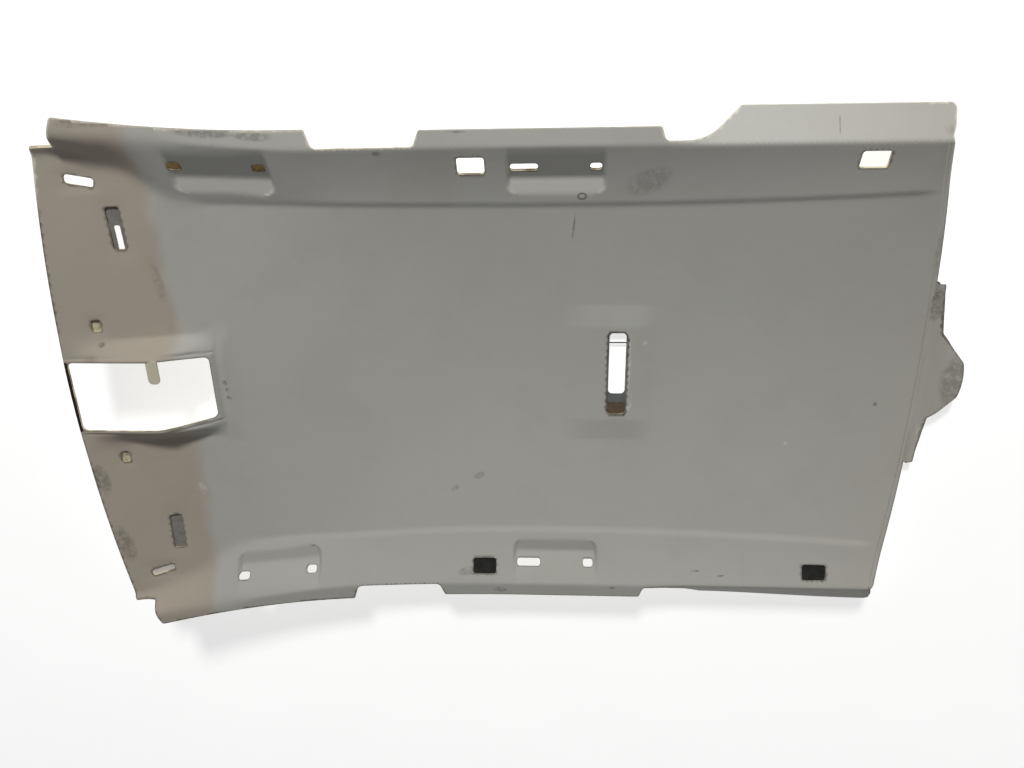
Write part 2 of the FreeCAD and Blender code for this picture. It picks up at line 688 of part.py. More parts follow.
OPENINGS = [
    # name, length, width, x, y, in pairs or single
    ("lamp_opening", "lamp_length", "lamp_width", "Sizes.lamp_x", "", "lamp_corner_radius"),
    ("front_side_hole", "side_hole_length", "side_hole_width",
     "Sizes.side_hole_front_x", "side_hole_front_y", "hole_corner_radius"),
    ("rear_side_hole", "side_hole_length", "side_hole_width",
     "Sizes.tail_reach - Sizes.side_hole_rear_x_setback", "side_hole_rear_y", "hole_corner_radius"),
    ("visor_hole", "visor_hole_length", "visor_hole_width",
     "Sizes.visor_hole_x_setback - Sizes.front_reach", "visor_hole_y", "hole_corner_radius"),
    ("front_grip_front_hole", "grip_hole_length", "grip_hole_width",
     "Sizes.front_grip_front_x_setback - Sizes.front_reach", "front_grip_front_y", "hole_corner_radius"),
    ("front_grip_rear_hole", "grip_hole_length", "grip_hole_width",
     "Sizes.front_grip_rear_x_setback - Sizes.front_reach", "front_grip_rear_y", "hole_corner_radius"),
    ("rear_grip_slot", "rear_grip_slot_length", "grip_hole_width",
     "Sizes.rear_grip_slot_x", "rear_grip_y", "hole_corner_radius"),
    ("rear_grip_hole", "grip_hole_length", "grip_hole_width",
     "Sizes.rear_grip_hole_x", "rear_grip_y", "hole_corner_radius"),
]


def rounded_box(doc, v, name, length, width, x, y, radius, side):
    """Tall box with rounded upright edges, bound to the sheet by name."""
    box = doc.addObject("Part::Box", name + "_box")
    box.setExpression("Length", "Sizes." + length)
    box.setExpression("Width", "Sizes." + width)
    box.Height = 900
    box.setExpression("Placement.Base.x", "%s - Sizes.%s / 2" % (x, length))
    if y:
        offset = "%d * Sizes.%s - Sizes.%s / 2" % (side, y, width)
    else:
        offset = "-Sizes.%s / 2" % width
    box.setExpression("Placement.Base.y", offset)
    box.Placement.Base.z = -300
    doc.recompute()
    fillet = doc.addObject("Part::Fillet", name)
    fillet.Base = box
    corner = getattr(v, radius)
    fillet.Edges = [(edge, corner, corner) for edge in (1, 3, 5, 7)]
    return fillet


def visor_slot(doc, v, name, side):
    """Slanting slot of a sun visor pivot."""
    box = doc.addObject("Part::Box", name + "_box")
    box.setExpression("Length", "Sizes.visor_slot_length")
    box.setExpression("Width", "Sizes.visor_slot_width")
    box.Height = 900
    turn = FreeCAD.Rotation(FreeCAD.Vector(0, 0, 1), -side * v.visor_slot_turn)
    half = FreeCAD.Vector(v.visor_slot_length / 2, v.visor_slot_width / 2, 0)
    centre = FreeCAD.Vector(v.visor_slot_x, side * v.visor_slot_y, -300)
    box.Placement = FreeCAD.Placement(centre - turn.multVec(half), turn)
    doc.recompute()
    fillet = doc.addObject("Part::Fillet", name)
    fillet.Base = box
    corner = v.hole_corner_radius
    fillet.Edges = [(edge, corner, corner) for edge in (1, 3, 5, 7)]
    return fillet


def all_openings(doc, v, cabin):
    """Every hole of the sheet, as one compound to cut away."""
    cutters = []
    for name, length, width, x, y, radius in OPENINGS:
        for side, suffix in ((1, "_left"), (-1, "_right")) if y else ((1, ""),):
            cutters.append(rounded_box(
                doc, v, name + suffix, length, width, x, y, radius, side))
    clips = []
    for side, suffix in ((1, "_left"), (-1, "_right")):
        cutters.append(visor_slot(doc, v, "visor_slot" + suffix, side))
        clips.append(rounded_box(
            doc, v, "clip_plan" + suffix, "clip_length", "clip_width",
            "Sizes.clip_x_setback - Sizes.front_reach", "clip_y", "hole_corner_radius", side))
    floor = feature(doc, "clip_floor", cabin.translated(FreeCAD.Vector(0, 0, -v.clip_depth)))
    for clip in clips:
        pocket = doc.addObject("Part::Cut", clip.Name.replace("plan", "pocket"))
        pocket.Base = clip
        pocket.Tool = floor
        cutters.append(pocket)
    face = rounded_face(mirrored(console_corners(v)), -300)
    cutters.append(feature(
        doc, "console_opening", face.extrude(FreeCAD.Vector(0, 0, 900))))
    together = doc.addObject("Part::Compound", "openings")
    together.Links = cutters
    return together


def headliner_panel(doc, v, cabin, back):
    """The moulded sheet: cabin side, trimmed, hollowed from the back, pierced."""
    region = feature(doc, "lip_region", lip_region(v))
    plain = cabin.translated(FreeCAD.Vector(0, 0, -v.rear_lip_drop))
    lowered = feature(doc, "lip_surface", plain)
    lip = doc.addObject("Part::Cut", "rear_lip")
    lip.Base = region
    lip.Tool = lowered
    face = rounded_face(mirrored(outline_corners(v)), -300)
    outline = feature(doc, "outline", face.extrude(FreeCAD.Vector(0, 0, 900)))
    trimmed = doc.addObject("Part::MultiCommon", "trimmed_block")
    trimmed.Shapes = [feature(doc, "cabin_block", cabin), outline]
    lipped = doc.addObject("Part::Cut", "lipped_block")
    lipped.Base = trimmed
    lipped.Tool = lip
    sheet = doc.addObject("Part::Cut", "plain_sheet")
    sheet.Base = lipped
    sheet.Tool = feature(doc, "back_block", back)
    panel = doc.addObject("Part::Cut", "headliner_panel")
    panel.Base = sheet
    panel.Tool = all_openings(doc, v, cabin)
    doc.recompute()
    return panel


def on_back(doc, name, plan, back, thickness):
    """Plate of this plan, lying on the back of the sheet."""
    lower = back.translated(FreeCAD.Vector(0, 0, -thickness))
    return feature(doc, name, plan.common(back).cut(lower))


def plan_box(x, y_low, y_high, length, radius):
    """Tall prism over a rectangle with rounded corners."""
    corners = [
        (x - length / 2, y_high, radius), (x + length / 2, y_high, radius),
        (x + length / 2, y_low, radius), (x - length / 2, y_low, radius)]
    return rounded_face(corners, -300).extrude(FreeCAD.Vector(0, 0, 900))


def dome_lamp_bracket(doc, v, back):
    frame = plan_box(v.lamp_x, -v.bracket_right_y, v.bracket_left_y, v.bracket_length, 6)
    window = plan_box(
        v.lamp_x, -v.bracket_window_right_y, v.bracket_window_left_y,
        v.bracket_window_length, 10)
    half = v.bracket_bar_width / 2
    bar = plan_box(
        v.lamp_x, v.bracket_bar_y - half, v.bracket_bar_y + half, v.bracket_window_length + 4, 0.5)
    return on_back(
        doc, "dome_lamp_bracket", frame.cut(window.cut(bar)), back, v.bracket_thickness)


def lamp_foam_pad(doc, v, back):
    top = -v.bracket_right_y - 1
    plan = plan_box(v.lamp_x, top - v.foam_pad_width, top, v.foam_pad_length, 4)
    return on_back(doc, "lamp_foam_pad", plan, back, v.foam_pad_thickness)


def visor_plate(doc, v, back, side, name):
    centre = side * v.visor_hole_y
    half = v.visor_plate_width / 2
    plan = plan_box(v.visor_hole_x, centre - half, centre + half, v.visor_plate_length, 6)
    if side > 0:
        reach = v.plate_window_width / 2
        plan = plan.cut(plan_box(
            v.visor_hole_x, centre - 22 - reach, centre - 22 + reach, v.plate_window_length, 4))
    return on_back(doc, name, plan, back, v.visor_plate_thickness)


def visor_slot_insert(doc, v, back):
    plan = plan_box(0, -v.insert_width / 2, v.insert_width / 2, v.insert_length, 5)
    plan.rotate(FreeCAD.Vector(), FreeCAD.Vector(0, 0, 1), v.visor_slot_turn)
    plan.translate(FreeCAD.Vector(v.visor_slot_x, -v.visor_slot_y, 0))
    return on_back(doc, "visor_slot_insert", plan, back, v.insert_thickness)


def console_tab(doc, v, panel):
    """Loose tab that stands into the console opening from its left-hand rim."""
    top = v.surround_height - v.tab_below_rim
    inner = v.console_half_width - v.tab_reach
    box = Part.makeBox(
        v.tab_width, v.tab_reach + 4, v.tab_thickness,
        FreeCAD.Vector(v.tab_x - v.tab_width / 2, inner, top - v.tab_thickness))
    ends = [edge for edge in box.Edges if abs(edge.BoundBox.YMax - inner) < 0.01
            and edge.BoundBox.ZLength > v.tab_thickness / 2]
    box = box.makeFillet(v.tab_width * 0.4, ends)
    return feature(doc, "console_tab", box.cut(panel.Shape))


def check(doc, nodes):
    """Stop when an object is in error or a node isn't a sound solid."""
    for item in doc.Objects:
        if "Invalid" in item.State or "Error" in item.State:
            raise ValueError("object %s is in error" % item.Name)
    for node in nodes:
        shape = node.Shape
        if shape.isNull() or not shape.isValid() or len(shape.Solids) != 1:
            raise ValueError("node %s has no sound solid" % node.Name)


def build():
    doc = FreeCAD.newDocument("headliner")
    v = Sizes(make_sheet(doc))
    cabin = formed_block(v, 0)
    back = formed_block(v, v.sheet_thickness)
    panel = headliner_panel(doc, v, cabin, back)
    nodes = [
        panel,
        dome_lamp_bracket(doc, v, back),
        lamp_foam_pad(doc, v, back),
        visor_plate(doc, v, back, 1, "visor_plate_left"),
        visor_plate(doc, v, back, -1, "visor_plate_right"),
        visor_slot_insert(doc, v, back),
        console_tab(doc, v, panel),
    ]
    doc.recompute()
    for node in nodes:
        node.Label = node.Name
    check(doc, nodes)
    os.makedirs("parts", exist_ok=True)
    for node in nodes:
        node.Shape.exportStep("parts/%s.step" % node.Name)


build()
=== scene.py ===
import bpy
import math
import numpy as np
from mathutils import Matrix, Vector
from mathutils.geometry import delaunay_2d_cdt


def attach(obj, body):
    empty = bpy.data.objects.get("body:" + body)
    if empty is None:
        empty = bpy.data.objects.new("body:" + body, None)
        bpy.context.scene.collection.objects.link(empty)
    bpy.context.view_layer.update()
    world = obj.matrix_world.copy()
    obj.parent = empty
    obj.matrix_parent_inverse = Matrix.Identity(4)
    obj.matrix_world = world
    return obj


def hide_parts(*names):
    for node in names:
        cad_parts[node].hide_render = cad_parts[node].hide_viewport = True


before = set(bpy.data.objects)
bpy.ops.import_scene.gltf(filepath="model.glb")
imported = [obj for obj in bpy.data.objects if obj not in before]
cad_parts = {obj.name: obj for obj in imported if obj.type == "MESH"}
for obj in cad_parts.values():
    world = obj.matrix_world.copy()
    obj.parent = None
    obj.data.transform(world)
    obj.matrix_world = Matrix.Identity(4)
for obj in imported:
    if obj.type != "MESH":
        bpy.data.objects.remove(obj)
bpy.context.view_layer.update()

# All lengths of the form are in millimetres, and are turned into metres at the end.
MM = 0.001
SHEET = 7.0
POCKET = 5.0
RIM_STRIPS = 3


# The moulded form: heights of the cabin side over the plan

def ease(ratio):
    ratio = np.clip(ratio, 0.0, 1.0)
    return ratio * ratio * (3 - 2 * ratio)


def soft_max(a, b, radius):
    gap = np.clip(0.5 + 0.5 * (a - b) / radius, 0, 1)
    return b + (a - b) * gap + radius * gap * (1 - gap)


def soft_min(a, b, radius):
    return -soft_max(-a, -b, radius)


def centre_height(x):
    return SHEET + np.where(x < 0, x * x / 6250.0, x * x / 110000.0)


def crown(x):
    rear = 46 + 12 * (x / 950.5) ** 2
    front = 46 - 27 * ease((-308 - x) / 400.0)
    return np.where(x >= 0, rear, front)


def ridge_line(x):
    return 536 + 32 * ease((-408 - x) / 465.0)


def crease_line(x):
    bow = (x - 91) ** 2 / 29400.0
    swing = 70 * ease((-723 - x) / 125.0)
    ahead = np.maximum(-848 - x, 0) * 0.35
    return np.minimum(404 + bow + swing + ahead, ridge_line(x) - 20)


def crease_step(x):
    return 5 * ease((x + 748) / 100.0) * ease((896 - x) / 60.0)


def flange_fall(x):
    turn = ease((x - 292) / 140.0)
    tail = ease((x - 432) / 464.5)
    return -0.10 + (-1.15 + 0.27 * tail + 0.10) * turn


def sharp_section(x, y):
    foot = crease_line(x)
    depth = crown(x)
    low = centre_height(x)
    ridge = ridge_line(x)
    ridge_top = SHEET + 108 + np.where(x < 0, x * x / 8700.0, 0)
    field = low + depth * (y / foot) ** 2
    top = foot + 10
    top_height = low + depth + 20 * depth / foot + crease_step(x)
    step = low + depth + (top_height - low - depth) * (y - foot) / 10
    reach = ridge - top
    chord = (ridge_top - top_height) / reach
    hollow = 0.12 * ease((x + 578.5) / 250.0) / reach
    along = y - top
    band = top_height + chord * along + hollow * along * (along - reach)
    flange = ridge_top + flange_fall(x) * (y - ridge)
    height = np.where(y < foot, field, step)
    height = np.where(y > top, band, height)
    return np.where(y > ridge, flange, height)


def bent_section(x, y):
    """The section with its bends rounded, more softly over the visors."""
    total = np.zeros_like(x)
    weights = 0
    spread = 0.9 + 3.0 * ease((-650 - x) / 110.0)
    for k in range(-7, 8):
        weight = 8 - abs(k)
        total += weight * sharp_section(x, np.abs(y + k * spread))
        weights += weight
    return total / weights


def surround_top(x):
    past = np.clip((x + 868) / 149.5, 0, 1.1)
    return 174 - 64 * past ** 2.4


def surround(x, y):
    past = np.clip((x + 826) / 107.5, 0, 1)
    opening = 84.5 - 8.5 * past
    top = surround_top(x)
    foot = centre_height(x) + crown(x) * (126 / 404.0) ** 2
    lean = (126 - opening - 7) / np.maximum(top - foot, 4)
    wall = top - (y - opening - 7) / lean
    rim_end = -711.5
    drop = surround_top(np.full_like(x, rim_end)) - centre_height(np.full_like(x, rim_end))
    rear = surround_top(np.full_like(x, rim_end)) - (x - rim_end) * drop / 24.0
    from_rim = np.maximum(y - opening, x + 718.5)
    bead = 2.4 * np.exp(-((from_rim - 3.5) / 3.2) ** 2)
    groove = 1.6 * np.exp(-((from_rim - 10.5) / 2.6) ** 2) * (from_rim > 0)
    return soft_min(soft_min(top, wall, 5), rear, 5) + bead - groove


def lamp_pad(x, y):
    side = np.clip((172 - y) / 50.0, 0, 1)
    front = np.clip((x - 92) / 100.0, 0, 1)
    rear = np.clip((327 - x) / 55.0, 0, 1)
    return 7.5 * side * ease(front) ** 0.7 * ease(rear) ** 0.7


def rear_line(y):
    return 950.5 - y * y / 4166.0


TONGUE_RUN = [-6, 0, 33, 78, 108]
TONGUE_HEIGHT = [11, 14, 42, 51, 53]


def tongue(x, y):
    inside = x - rear_line(y)
    profile = np.zeros_like(x)
    for k in range(-4, 5):
        profile += np.interp(inside + 1.6 * k, TONGUE_RUN, TONGUE_HEIGHT) / 9
    return np.where(inside < -6, -50, profile)


def recess(x, y, z, plan, profile, shear):
    """The side band with a grab handle recess pressed into it."""
    lip, corner, front, rear = plan
    lip_height, valley, valley_height, slope = profile
    origin, shift, fall = shear
    across = y - shift * (x - origin)
    shelf = lip_height + (valley_height - lip_height) * (across - lip) / (valley - lip)
    floor = valley_height + slope * (across - valley)
    bottom = soft_max(shelf, floor, 5) + fall * (x - origin)
    turned = 1 - np.sqrt(1 - np.clip(1 - (across - lip) / corner, 0, 1) ** 2)
    from_end = np.minimum(x - front, rear - x) - corner * turned
    wall = ease(from_end / 13.0)
    return z + (soft_min(z, bottom, 3) - z) * wall


FRONT_TOP = SHEET + 108 + 623.5 ** 2 / 8700.0
FRONT_RECESS = (
    (447, 21, -725, -509), (FRONT_TOP - 53.5, 481.6, FRONT_TOP - 51, 0.81),
    (-623.5, -0.0527, -0.13))
REAR_RECESS = (
    (434, 21, -22, 197), (SHEET + 60, 468, SHEET + 56.5, 0.78), (0, 0, 0))


def lip_step(x, y):
    """Step down to the thin lip along the rear edge, which curls down further."""
    inside = rear_line(y) - x
    groove = 1.5 * np.exp(-((inside - 12.5) / 2.0) ** 2)
    drop = groove + 5.0 * ease((15 - inside) / 4.5) + 4.0 * ease((8 - inside) / 8.0)
    return drop * ((inside > -1) | (y > 226)) * ease((566 - y) / 22.0)


def dents(x, y):
    """Shallow pressed areas round the visor slots and the clip pockets."""
    total = np.zeros_like(x)
    for middle_x, middle_y, size_x, size_y, depth in (
            (-909, 483, 42, 24, 2.5), (-860.5, 380, 30, 66, 2.5), (-943.5, 164, 20, 24, 2.0)):
        reach = ((x - middle_x) / size_x) ** 4 + ((y - middle_y) / size_y) ** 4
        total += depth * np.exp(-reach)
    return total


def visor_bead(x, y):
    """Slight raised line where the visor zone meets the field."""
    line = -793 + 3 * (y / 420.0) ** 2
    ends = ease((430 - y) / 60.0) * ease((y - 128) / 30.0)
    return 2.2 * np.exp(-((x - line) / 8.0) ** 2) * ends


def height(x, y):
    y = np.abs(y)
    z = bent_section(x, y)
    z = z + lamp_pad(x, y) + visor_bead(x, y) - lip_step(x, y) - dents(x, y)
    near = (x < -640) & (y < 190)
    z = np.where(near, soft_max(z, surround(x, y), 8), z)
    behind = (x > rear_line(y) - 5) & (y < 244)
    z = np.where(behind, soft_max(z, tongue(x, y), 3), z)
    for recessed, low, high in ((FRONT_RECESS, -790, -440), (REAR_RECESS, -90, 270)):
        near = (x > low) & (x < high) & (y > 400) & (y < 556)
        z = np.where(near, recess(x, y, z, *recessed), z)
    return z


def normals(x, y, step=0.8):
    slope_x = (height(x + step, y) - height(x - step, y)) / (2 * step)
    slope_y = (height(x, y + step) - height(x, y - step)) / (2 * step)
    up = np.stack([-slope_x, -slope_y, np.ones_like(x)], axis=1)
    return up / np.linalg.norm(up, axis=1)[:, None]


# Plan: outline, openings and the points between them

def rounded_loop(corners, step=9.0):
    """Closed run of plan points over corners (x, y, radius)."""
    points = []
    count = len(corners)
    for index, (x, y, radius) in enumerate(corners):
        corner = np.array([x, y], float)
        back = np.array(corners[index - 1][:2], float) - corner
        ahead = np.array(corners[(index + 1) % count][:2], float) - corner
        back /= np.linalg.norm(back)
        ahead /= np.linalg.norm(ahead)
        half = math.acos(max(-1, min(1, float(back @ ahead)))) / 2
        run = radius / math.tan(half)
        inward = (back + ahead) / np.linalg.norm(back + ahead)
        centre = corner + inward * radius / math.sin(half)
        start = corner + back * run - centre
        turn = math.pi - 2 * half
        if back[0] * ahead[1] - back[1] * ahead[0] > 0:
            turn = -turn
        pieces = max(2, min(60, int(abs(turn) * radius / step) + 3))
        for k in range(pieces + 1):
            angle = turn * k / pieces
            c, s = math.cos(angle), math.sin(angle)
            turned = [c * start[0] - s * start[1], s * start[0] + c * start[1]]
            points.append(centre + np.array(turned))
    filled = []
    for index, point in enumerate(points):
        following = points[(index + 1) % len(points)]
        gap = np.linalg.norm(following - point)
        if gap < 0.05:
            continue
        parts = max(1, int(gap / step))
        filled += [point + (following - point) * k / parts for k in range(parts)]
    return np.array(filled)


def mirrored(half):
    return half + [(x, -y, radius) for x, y, radius in reversed(half) if y > 0]


OUTLINE = [
    (-1023.5, 276, 3320), (-977.5, 552, 5), (-929.5, 553, 5), (-910, 612, 7),
    (-668, 577.5, 3000), (-428.5, 577, 5), (-415.5, 537.5, 14), (-208.5, 537.5, 14),
    (-195.5, 572, 6), (300.5, 572, 6), (309.5, 544, 10), (391.5, 544, 120),
    (469.5, 607, 8), (896.5, 607, 10), (879.7, 543, 15), (921.3, 383.5, 1800),
    (938.5, 224, 3), (955.5, 221, 4), (962.5, 147, 60), (967.5, 105, 15),
    (1018.5, 42, 22), (1026.1, 0, 175)]
CONSOLE = [(-1016.5, 84.5, 12), (-826, 84.5, 1200), (-718.5, 76, 12)]


def box_corners(x, y, length, width, radius, turn=0.0):
    c, s = math.cos(turn), math.sin(turn)
    half_x, half_y = length / 2, width / 2
    corners = []
    for a, b in ((-half_x, half_y), (half_x, half_y), (half_x, -half_y), (-half_x, -half_y)):
        corners.append((x + c * a - s * b, y + s * a + c * b, radius))
    return corners


def opening_loops():
    loops = {"console": rounded_loop(mirrored(CONSOLE), 7)}
    loops["lamp"] = rounded_loop(box_corners(234.5, 0, 44, 208, 9), 7)
    for side in (1, -1):
        tag = "l" if side > 0 else "r"
        turn = -side * math.radians(13)
        holes = {
            "side_front": (-92.5, 496.5, 58, 35.5, 6), "side_rear": (734, 500, 58, 35.5, 6),
            "visor": (-860.5, 380, 27, 93, 6), "grip_a": (-706.5, 508.5, 25, 16, 6),
            "grip_b": (-537.5, 499.6, 25, 16, 6), "grip_c": (19.5, 491.5, 59, 16, 6),
            "grip_d": (170.5, 491.5, 25, 16, 6)}
        for name, (x, y, length, width, radius) in holes.items():
            loops[name + tag] = rounded_loop(box_corners(x, side * y, length, width, radius), 5)
        loops["slot" + tag] = rounded_loop(box_corners(-909, side * 483, 54, 19, 6, turn), 5)
        loops["clip" + tag] = rounded_loop(box_corners(-943.5, side * 164, 18, 28, 5), 4)
    return loops


def inside_loop(points, loop):
    """Which points lie inside a closed loop."""
    result = np.zeros(len(points), bool)
    x, y = points[:, 0], points[:, 1]
    for (x1, y1), (x2, y2) in zip(loop, np.roll(loop, -1, axis=0)):
        if y1 == y2:
            continue
        crosses = (y1 > y) != (y2 > y)
        result ^= crosses & (x < (x2 - x1) * (y - y1) / (y2 - y1) + x1)
    return result


def far_from(points, loop, distance):
    """Which points keep this distance from a loop's segments."""
    keep = np.ones(len(points), bool)
    for start, end in zip(loop, np.roll(loop, -1, axis=0)):
        low = np.minimum(start, end) - distance
        high = np.maximum(start, end) + distance
        near = np.all((points > low) & (points < high), axis=1)
        if not near.any():
            continue
        along = end - start
        ratio = np.clip(((points[near] - start) @ along) / (along @ along), 0, 1)
        gap = np.linalg.norm(points[near] - start - ratio[:, None] * along, axis=1)
        index = np.where(near)[0]
        keep[index[gap < distance]] = False
    return keep


def grid(x_low, x_high, y_low, y_high, step_x, step_y):
    xs = np.linspace(x_low, x_high, max(2, int((x_high - x_low) / step_x)))
    ys = np.linspace(y_low, y_high, max(2, int((y_high - y_low) / step_y)))
    gx, gy = np.meshgrid(xs, ys)
    shift = (np.arange(gy.shape[0]) % 2)[:, None] * (xs[1] - xs[0]) / 2
    return np.stack([(gx + shift).ravel(), gy.ravel()], axis=1)


def along_lines(coarse):
    """Points that follow the crease and the ridge, closer across than along."""
    rows = []
    xs = np.arange(-1040, 1000, 12.0 * coarse)
    crease = [-14, -9, -5, -1.5, 2, 5.5, 9, 12.5, 16, 20, 26]
    ridge = [-16, -10, -5.5, -1.8, 1.8, 5.5, 10, 16]
    for line, offsets in ((crease_line, crease), (ridge_line, ridge)):
        for index, offset in enumerate(offsets[::2] if coarse > 1 else offsets):
            x = xs + (6.0 * coarse if index % 2 else 0)
            for side in (1, -1):
                rows.append(np.stack([x, side * (line(x) + offset)], axis=1))
    return np.concatenate(rows)


def along_rear(coarse):
    """Points that follow the bow of the rear edge and the bend of the tongue."""
    rows = []
    ys = np.arange(-600, 600, 7.0 * coarse)
    offsets = [-20, -16.5, -13.8, -12.4, -11, -9.6, -8, -5.5, -2.8, 0, 2.8, 6, 10]
    for index, offset in enumerate(offsets):
        y = ys + (3.5 * coarse if index % 2 else 0)
        rows.append(np.stack([rear_line(y) + offset, y], axis=1))
    return np.concatenate(rows)


def in_zone(points, x0, x1, y0, y1):
    """Which points lie within 3 mm of a fine zone."""
    x, y = points[:, 0], points[:, 1]
    return (x > x0 - 3) & (x < x1 + 3) & (y > y0 - 3) & (y < y1 + 3)


def plan_points(coarse):
    """Inner plan points, dense where the form turns."""
    fine = [
        (-1040, -670, -150, 150, 4.2, 3.8), (-760, -480, 430, 548, 3.2, 4.0),
        (-760, -480, -548, -430, 3.2, 4.0), (-50, 225, 420, 545, 3.2, 4.0),
        (-50, 225, -545, -420, 3.2, 4.0), (900, 1030, -250, 250, 5.0, 6.0)]
    bands = along_lines(coarse)
    rear = along_rear(coarse)
    base = grid(-1040, 1040, -640, 640, 10.0 * coarse, 9.0 * coarse)
    keep = np.ones(len(base), bool)
    for x0, x1, y0, y1, _, _ in fine:
        keep &= ~in_zone(base, x0, x1, y0, y1)
    wide = np.abs(base[:, 1])
    keep &= np.abs(wide - crease_line(base[:, 0]) - 6) > 24
    keep &= np.abs(wide - ridge_line(base[:, 0])) > 19
    sets = [base[keep]]
    in_fine = np.zeros(len(bands), bool)
    for x0, x1, y0, y1, step_x, step_y in fine:
        patch = grid(x0, x1, y0, y1, step_x * coarse, step_y * coarse)
        sets.append(patch)
        in_fine |= in_zone(bands, x0, x1, y0, y1)
    sets.append(bands[~in_fine])
    sets = [near[np.abs(near[:, 0] - rear_line(near[:, 1]) + 5) > 18] for near in sets]
    sets.append(rear)
    return np.concatenate(sets)


def plan_mesh(outline, holes, coarse):
    """Triangles over the plan between the outline and the holes."""
    points = plan_points(coarse)
    keep = inside_loop(points, outline) & far_from(points, outline, 3.0)
    for loop in holes:
        low, high = loop.min(axis=0) - 6, loop.max(axis=0) + 6
        near = np.all((points > low) & (points < high), axis=1) & keep
        index = np.where(near)[0]
        bad = inside_loop(points[index], loop) | ~far_from(points[index], loop, 2.2)
        keep[index[bad]] = False
    points = points[keep]
    loops = [outline] + list(holes)
    start = 0
    edges = []
    for loop in loops:
        count = len(loop)
        edges += [(start + k, start + (k + 1) % count) for k in range(count)]
        start += count
    every = np.concatenate(loops + [points])
    verts, _, tris, _, _, _ = delaunay_2d_cdt(
        [Vector(p) for p in every], edges, [], 0, 0.001)
    verts = np.array([tuple(p) for p in verts])
    tris = np.array([tuple(t) for t in tris if len(t) == 3])
    middle = verts[tris].mean(axis=1)
    keep = inside_loop(middle, outline)
    for loop in holes:
        low, high = loop.min(axis=0), loop.max(axis=0)
        near = np.where(np.all((middle > low) & (middle < high), axis=1))[0]
        keep[near[inside_loop(middle[near], loop)]] = False
    return verts, tris[keep]


def lifted(plan, depth):
    x, y = plan[:, 0], plan[:, 1]
    base = np.stack([x, y, height(x, y)], axis=1)
    return base - normals(x, y, 5.0) * depth, normals(x, y)


def new_mesh(name, verts, faces, material):
    mesh = bpy.data.meshes.new(name)
    mesh.from_pydata((np.asarray(verts) * MM).tolist(), [], [list(map(int, f)) for f in faces])
    mesh.materials.append(material)
    mesh.update()
    piece = bpy.data.objects.new(name, mesh)
    bpy.context.scene.collection.objects.link(piece)
    return piece


def rim_walls(loop, inward, first, depth):
    """Strips of quads down the cut edge of one loop."""
    faces = []
    count = len(loop)
    verts = [lifted(loop, depth * k / RIM_STRIPS)[0] for k in range(RIM_STRIPS + 1)]
    for k in range(RIM_STRIPS):
        for i in range(count):
            j = (i + 1) % count
            a, b = first + k * count + i, first + k * count + j
            c, d = b + count, a + count
            faces.append((a, d, c, b) if inward else (a, b, c, d))
    return np.concatenate(verts), faces


def signed_area(loop):
    following = np.roll(loop, -1, axis=0)
    return 0.5 * np.sum(loop[:, 0] * following[:, 1] - loop[:, 1] * following[:, 0])


def wound(plan, tris, facing):
    """The triangles turned to face up (1) or down (-1)."""
    order = tris.copy()
    a, b, c = plan[order[:, 0]], plan[order[:, 1]], plan[order[:, 2]]
    turn = (b[:, 0] - a[:, 0]) * (c[:, 1] - a[:, 1]) - (b[:, 1] - a[:, 1]) * (c[:, 0] - a[:, 0])
    wrong = turn * facing < 0
    order[wrong] = order[wrong][:, ::-1]
    return order


def hole_fill(name, loop, depth, rough, material):
    """Rough patch of foam, or a near-black sheet of painted shade, that shows inside a hole."""
    rng = np.random.RandomState(7)
    middle = loop.mean(axis=0)
    rings = [middle + (loop - middle) * share for share in (1.0, 0.75, 0.5, 0.25)]
    verts = []
    for ring in rings:
        place, _ = lifted(ring, depth)
        place[:, 2] += rough * rng.uniform(-1, 1, len(ring))
        verts.append(place)
    count = len(loop)
    faces = []
    for k in range(len(rings) - 1):
        for i in range(count):
            j = (i + 1) % count
            faces.append((k * count + i, k * count + j, (k + 1) * count + j, (k + 1) * count + i))
    faces.append(tuple((len(rings) - 1) * count + i for i in range(count)))
    if signed_area(loop) < 0:
        faces = [face[::-1] for face in faces]
    return new_mesh(name, np.concatenate(verts), faces, material)


